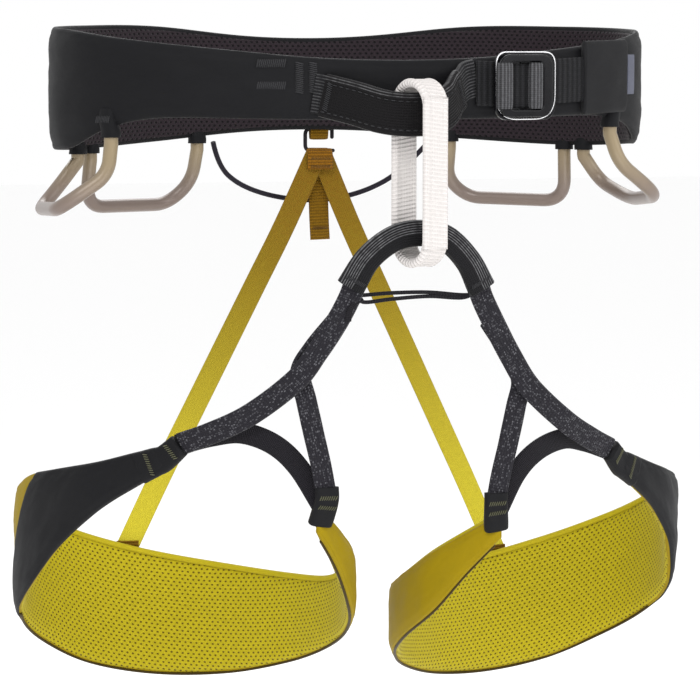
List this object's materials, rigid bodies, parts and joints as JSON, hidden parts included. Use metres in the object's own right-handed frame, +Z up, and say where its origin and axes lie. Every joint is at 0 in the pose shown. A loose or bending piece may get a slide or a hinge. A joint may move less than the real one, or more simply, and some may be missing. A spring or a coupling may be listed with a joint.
{
  "type": "climbing harness",
  "caption": "Sit harness with a padded waist belt, side buckle, four stiff gear loops, haul loop, white belay loop and two padded leg loops on webbing risers.",
  "frame": {"origin": "centre of the waist opening at the middle of the belt's height", "axes": "+Z up, -Y towards the wearer's front (the belay loop's side), +X to the right seen from the front"},
  "size_m": [0.3874, 0.261, 0.3892],
  "materials": {
    "belt_fabric": "fine matt woven shell",
    "belt_foam": "closed-cell foam",
    "belt_mesh": "perforated spacer mesh",
    "black_webbing": "ribbed nylon webbing",
    "wear_fabric": "dense wear fabric",
    "stitching": "bar tack thread",
    "buckle_metal": "glossy black anodised plate",
    "label": "smooth woven label",
    "gear_tube": "satin bronze tubing",
    "haul_cord": "braided cord",
    "yellow_webbing": "mustard webbing",
    "hook_metal": "black coated wire plate",
    "belay_webbing": "white tubular webbing",
    "bridge_ribbed": "ribbed wear sleeve",
    "riser_webbing": "speckled dark grey webbing",
    "leg_fabric": "mustard yellow woven shell",
    "leg_panel": "black woven panel",
    "leg_mesh": "mustard spacer mesh",
    "leg_foam": "closed-cell foam",
    "elastic": "woven elastic"
  },
  "bodies": {
    "waist_belt": {"belt_shell": "belt_fabric", "belt_load_strap": "black_webbing", "belt_foam_core": "belt_foam", "belt_mesh_liner": "belt_mesh", "tie_in_loop": "black_webbing", "tie_in_wear_sleeve": "wear_fabric", "front_bartacks": "stitching", "buckle_back_plate": "buckle_metal", "buckle_anchor_webbing": "black_webbing", "webbing_keeper": "belt_fabric", "inner_label": "label", "gear_loop_bartacks": "stitching", "rear_hook_tab": "yellow_webbing", "haul_loop": "haul_cord"},
    "buckle_plate": {"buckle_front_plate": "buckle_metal"},
    "belt_tail": {"belt_tail_webbing": "black_webbing"},
    "gear_loop_front_left": {"gear_loop_front_left": "gear_tube"},
    "gear_loop_rear_left": {"gear_loop_rear_left": "gear_tube"},
    "gear_loop_front_right": {"gear_loop_front_right": "gear_tube"},
    "gear_loop_rear_right": {"gear_loop_rear_right": "gear_tube"},
    "leg_bridge": {"leg_bridge_webbing": "riser_webbing", "leg_bridge_sleeve": "bridge_ribbed", "bridge_elastic": "elastic", "rear_hook": "hook_metal", "rear_strap_tail": "yellow_webbing", "rear_stitch_block": "yellow_webbing"},
    "belay_loop": {"belay_loop": "belay_webbing"},
    "rear_sling_left": {"rear_riser_left": "yellow_webbing"},
    "leg_loop_left": {"leg_foam_core_left": "leg_foam", "leg_mesh_liner_left": "leg_mesh", "leg_front_panel_left": "leg_panel", "leg_shell_left": "leg_fabric", "leg_outer_riser_left": "riser_webbing", "leg_inner_riser_left": "riser_webbing", "leg_loop_elastic_left": "elastic", "leg_end_tabs_left": "black_webbing", "rear_riser_anchor_left": "yellow_webbing"},
    "rear_sling_right": {"rear_riser_right": "yellow_webbing"},
    "leg_loop_right": {"leg_foam_core_right": "leg_foam", "leg_mesh_liner_right": "leg_mesh", "leg_front_panel_right": "leg_panel", "leg_shell_right": "leg_fabric", "leg_outer_riser_right": "riser_webbing", "leg_inner_riser_right": "riser_webbing", "leg_loop_elastic_right": "elastic", "leg_end_tabs_right": "black_webbing", "rear_riser_anchor_right": "yellow_webbing"}
  },
  "joints": [
    {"name": "buckle_tilt", "type": "hinge", "parent": "waist_belt", "child": "buckle_plate", "pos_m": [0.05165, -0.10482, 0.0006], "axis": [0, 0, -1], "range_deg": [0, 20]},
    {"name": "tail_slide", "type": "hinge", "parent": "waist_belt", "child": "belt_tail", "pos_m": [0.03022, 0.07227, 0.004], "axis": [0, 0, 1], "range_deg": [0, 5]},
    {"name": "gear_loop_front_left_swing", "type": "hinge", "parent": "waist_belt", "child": "gear_loop_front_left", "pos_m": [-0.1445, -0.001, -0.036], "axis": [-0.0106, 0.9919, -0.1266], "range_deg": [-12, 40], "stiffness_Nm_per_rad": 0.1},
    {"name": "gear_loop_rear_left_swing", "type": "hinge", "parent": "waist_belt", "child": "gear_loop_rear_left", "pos_m": [-0.1015, 0.074, -0.04], "axis": [0.8958, 0.4414, 0.0519], "range_deg": [-12, 40], "stiffness_Nm_per_rad": 0.1},
    {"name": "gear_loop_front_right_swing", "type": "hinge", "parent": "waist_belt", "child": "gear_loop_front_right", "pos_m": [0.1415, -0.01125, -0.034], "axis": [-0.2059, -0.9659, 0.1569], "range_deg": [-12, 40], "stiffness_Nm_per_rad": 0.1},
    {"name": "gear_loop_rear_right_swing", "type": "hinge", "parent": "waist_belt", "child": "gear_loop_rear_right", "pos_m": [0.1145, 0.0671, -0.04], "axis": [0.8509, -0.5221, -0.0577], "range_deg": [-12, 40], "stiffness_Nm_per_rad": 0.1},
    {"name": "leg_set_sway", "type": "hinge", "parent": "waist_belt", "child": "leg_bridge", "pos_m": [0.0035, -0.1216, -0.013], "axis": [0.0285, 0.9977, -0.0614], "range_deg": [-5, 3]},
    {"name": "belay_twist", "type": "hinge", "parent": "leg_bridge", "child": "belay_loop", "pos_m": [0.0035, -0.1218, -0.0435], "axis": [0, 0, 1], "range_deg": [-38, 1]},
    {"name": "leg_spread_left", "type": "hinge", "parent": "leg_bridge", "child": "rear_sling_left", "pos_m": [-0.031, -0.112, -0.106], "axis": [0.1702, 0.9506, 0.2597], "range_deg": [0, 14]},
    {"name": "leg_pitch_left", "type": "hinge", "parent": "rear_sling_left", "child": "leg_loop_left", "pos_m": [-0.031, -0.112, -0.106], "axis": [1, 0, 0], "range_deg": [-6, 14], "stiffness_Nm_per_rad": 2, "deforming": ["rear_riser_left"]},
    {"name": "leg_spread_right", "type": "hinge", "parent": "leg_bridge", "child": "rear_sling_right", "pos_m": [0.041, -0.112, -0.106], "axis": [0.1274, -0.9568, -0.2614], "range_deg": [0, 14]},
    {"name": "leg_pitch_right", "type": "hinge", "parent": "rear_sling_right", "child": "leg_loop_right", "pos_m": [0.041, -0.112, -0.106], "axis": [1, 0, 0], "range_deg": [-6, 14], "stiffness_Nm_per_rad": 2, "deforming": ["rear_riser_right"]}
  ]
}
